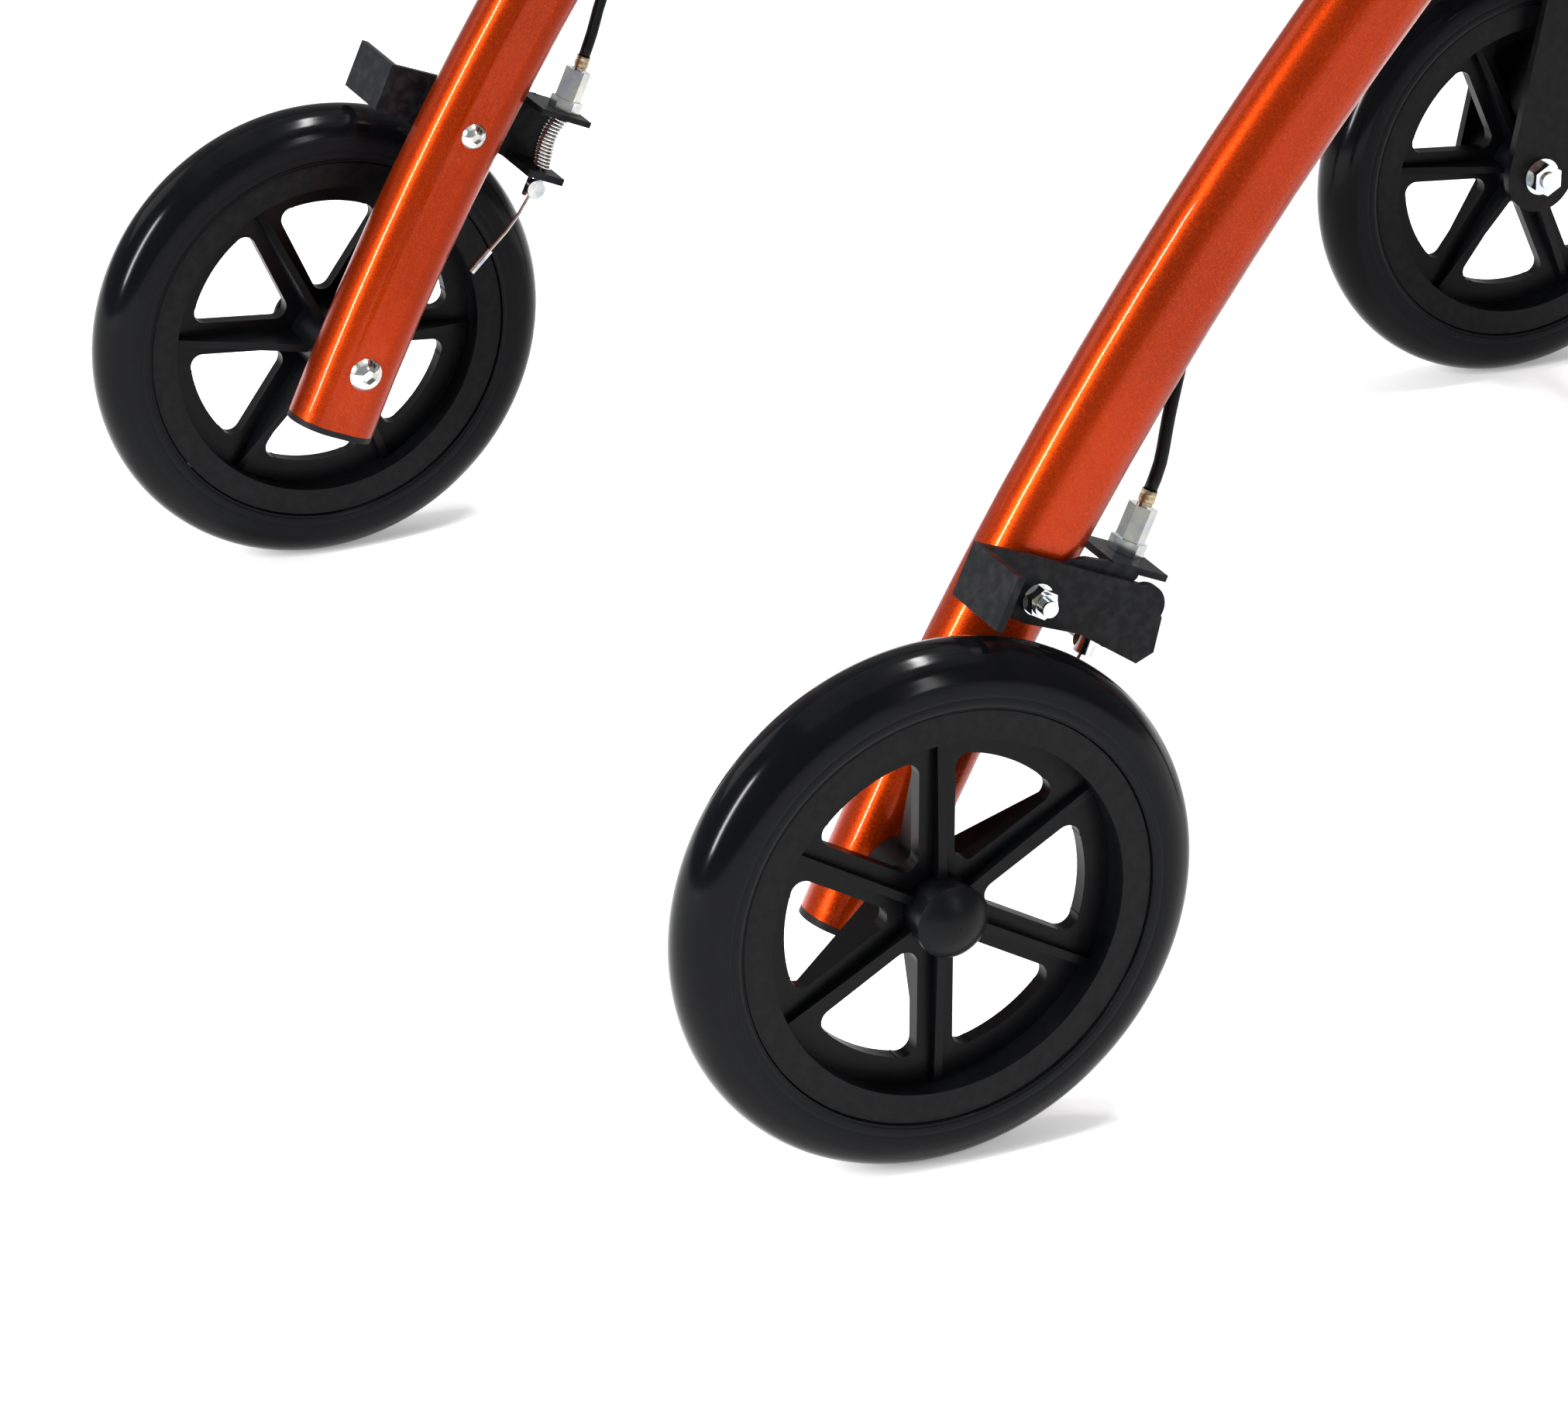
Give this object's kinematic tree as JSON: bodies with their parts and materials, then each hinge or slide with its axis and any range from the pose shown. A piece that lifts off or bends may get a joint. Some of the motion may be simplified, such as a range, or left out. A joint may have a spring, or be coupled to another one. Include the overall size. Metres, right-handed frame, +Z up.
{
  "type": "four-wheel walker",
  "caption": "Folding four-wheel walker with arched oval legs, cable brakes on the rear tyres, trailing casters, flip-up padded seat, backrest strap and tote bag.",
  "frame": {"origin": "on the floor, under the middle of the wheelbase and the track", "axes": "+Z up, front towards -Y, the user's left side towards +X"},
  "size_m": [0.6356, 0.766, 0.9006],
  "materials": {
    "orange_paint": "metallic orange lacquer with fine flake",
    "zinc": "bright zinc plate",
    "post_metal": "satin anodised",
    "black_steel": "satin black powder coat",
    "black_plastic": "fine grained moulded nylon",
    "wheel_plastic": "satin moulded plastic",
    "tyre": "smooth solid tread, glossy crown",
    "grip_rubber": "soft ribbed rubber",
    "cable_jacket": "smooth black jacket",
    "seat_vinyl": "grained black vinyl",
    "strap_fabric": "black woven webbing with stitched pad",
    "bag_fabric": "black woven polyester"
  },
  "bodies": {
    "front_frame": {"right_front_upright": "orange_paint", "left_front_upright": "orange_paint", "lower_cross_tube": "orange_paint", "upper_cross_tube": "orange_paint", "upright_collars": "black_plastic", "fold_pivot_bolts": "zinc", "backrest_strap": "strap_fabric", "backrest_brackets": "black_steel", "tote_bag": "bag_fabric", "bag_hooks": "black_plastic", "right_upper_cable": "cable_jacket", "left_upper_cable": "cable_jacket", "cable_clips": "black_plastic"},
    "rear_frame": {"right_rear_leg": "orange_paint", "left_rear_leg": "orange_paint", "rear_cross_tube": "orange_paint", "seat_rest_tube": "orange_paint", "leg_plugs": "black_plastic", "right_brake_bracket": "black_steel", "left_brake_bracket": "black_steel", "right_brake_spring": "zinc", "left_brake_spring": "zinc", "cable_adjusters": "zinc", "right_lower_cable": "cable_jacket", "left_lower_cable": "cable_jacket", "rear_axle_bolts": "zinc", "brake_pivot_bolts": "zinc"},
    "seat": {"seat_rail": "black_steel", "seat_board": "black_plastic", "seat_cushion": "seat_vinyl", "seat_hinge_clamps": "black_plastic"},
    "right_knob": {"right_height_knob": "black_plastic"},
    "right_handle": {"right_handle_post": "post_metal", "right_grip": "grip_rubber", "right_lever_housing": "black_plastic"},
    "right_lever": {"right_brake_lever": "black_plastic"},
    "right_brake": {"right_brake_arm": "black_steel", "right_cable_clamp": "zinc"},
    "right_caster": {"right_caster_fork": "wheel_plastic", "right_front_axle": "zinc"},
    "right_front_wheel": {"right_front_rim": "wheel_plastic", "right_front_tyre": "tyre"},
    "right_rear_wheel": {"right_rear_rim": "wheel_plastic", "right_rear_tyre": "tyre", "right_hub_parts": "wheel_plastic"},
    "left_knob": {"left_height_knob": "black_plastic"},
    "left_handle": {"left_handle_post": "post_metal", "left_grip": "grip_rubber", "left_lever_housing": "black_plastic"},
    "left_lever": {"left_brake_lever": "black_plastic"},
    "left_brake": {"left_brake_arm": "black_steel", "left_cable_clamp": "zinc"},
    "left_caster": {"left_caster_fork": "wheel_plastic", "left_front_axle": "zinc"},
    "left_front_wheel": {"left_front_rim": "wheel_plastic", "left_front_tyre": "tyre"},
    "left_rear_wheel": {"left_rear_rim": "wheel_plastic", "left_rear_tyre": "tyre", "left_hub_parts": "wheel_plastic"}
  },
  "joints": [
    {"name": "rear_fold", "type": "hinge", "parent": "front_frame", "child": "rear_frame", "pos_m": [0, -0.15358, 0.62198], "axis": [-1, 0, 0], "range_deg": [0, 32], "deforming": ["right_lower_cable", "left_lower_cable"]},
    {"name": "seat_flip", "type": "hinge", "parent": "front_frame", "child": "seat", "pos_m": [0, -0.22967, 0.514], "axis": [1, 0, 0], "range_deg": [0, 60]},
    {"name": "right_knob_turn", "type": "hinge", "parent": "front_frame", "child": "right_knob", "pos_m": [-0.252, -0.14542, 0.77331], "axis": [0, 0.9511, -0.309], "range_deg": [0, 720]},
    {"name": "right_handle_height", "type": "slide", "parent": "front_frame", "child": "right_handle", "axis": [0, 0.309, 0.9511], "range_m": [0, 0.1], "deforming": ["right_upper_cable"]},
    {"name": "right_lever_squeeze", "type": "hinge", "parent": "right_handle", "child": "right_lever", "pos_m": [-0.252, -0.07104, 0.85116], "axis": [1, 0, 0], "range_deg": [0, 12], "stiffness_Nm_per_rad": 1.5},
    {"name": "right_brake_press", "type": "hinge", "parent": "rear_frame", "child": "right_brake", "pos_m": [-0.252, 0.23213, 0.1975], "axis": [-1, 0, 0], "range_deg": [0, 4.5], "deforming": ["right_brake_spring"]},
    {"name": "right_caster_swivel", "type": "hinge", "parent": "front_frame", "child": "right_caster", "pos_m": [-0.256, -0.32, 0.25], "axis": [0, 0, 1], "continuous": true},
    {"name": "right_front_wheel_spin", "type": "hinge", "parent": "right_caster", "child": "right_front_wheel", "pos_m": [-0.256, -0.283, 0.1], "axis": [1, 0, 0], "continuous": true},
    {"name": "right_rear_wheel_spin", "type": "hinge", "parent": "rear_frame", "child": "right_rear_wheel", "pos_m": [-0.295, 0.283, 0.1], "axis": [1, 0, 0], "continuous": true},
    {"name": "left_knob_turn", "type": "hinge", "parent": "front_frame", "child": "left_knob", "pos_m": [0.252, -0.14542, 0.77331], "axis": [0, 0.9511, -0.309], "range_deg": [0, 720]},
    {"name": "left_handle_height", "type": "slide", "parent": "front_frame", "child": "left_handle", "axis": [0, 0.309, 0.9511], "range_m": [0, 0.1], "deforming": ["left_upper_cable"]},
    {"name": "left_lever_squeeze", "type": "hinge", "parent": "left_handle", "child": "left_lever", "pos_m": [0.252, -0.07104, 0.85116], "axis": [1, 0, 0], "range_deg": [0, 12], "stiffness_Nm_per_rad": 1.5},
    {"name": "left_brake_press", "type": "hinge", "parent": "rear_frame", "child": "left_brake", "pos_m": [0.252, 0.23213, 0.1975], "axis": [-1, 0, 0], "range_deg": [0, 4.5], "deforming": ["left_brake_spring"]},
    {"name": "left_caster_swivel", "type": "hinge", "parent": "front_frame", "child": "left_caster", "pos_m": [0.256, -0.32, 0.25], "axis": [0, 0, 1], "continuous": true},
    {"name": "left_front_wheel_spin", "type": "hinge", "parent": "left_caster", "child": "left_front_wheel", "pos_m": [0.256, -0.283, 0.1], "axis": [1, 0, 0], "continuous": true},
    {"name": "left_rear_wheel_spin", "type": "hinge", "parent": "rear_frame", "child": "left_rear_wheel", "pos_m": [0.295, 0.283, 0.1], "axis": [1, 0, 0], "continuous": true}
  ],
  "couplings": [
    {"joint": "right_brake_press", "follows": "right_lever_squeeze", "ratio": 0.375},
    {"joint": "left_brake_press", "follows": "left_lever_squeeze", "ratio": 0.375}
  ]
}
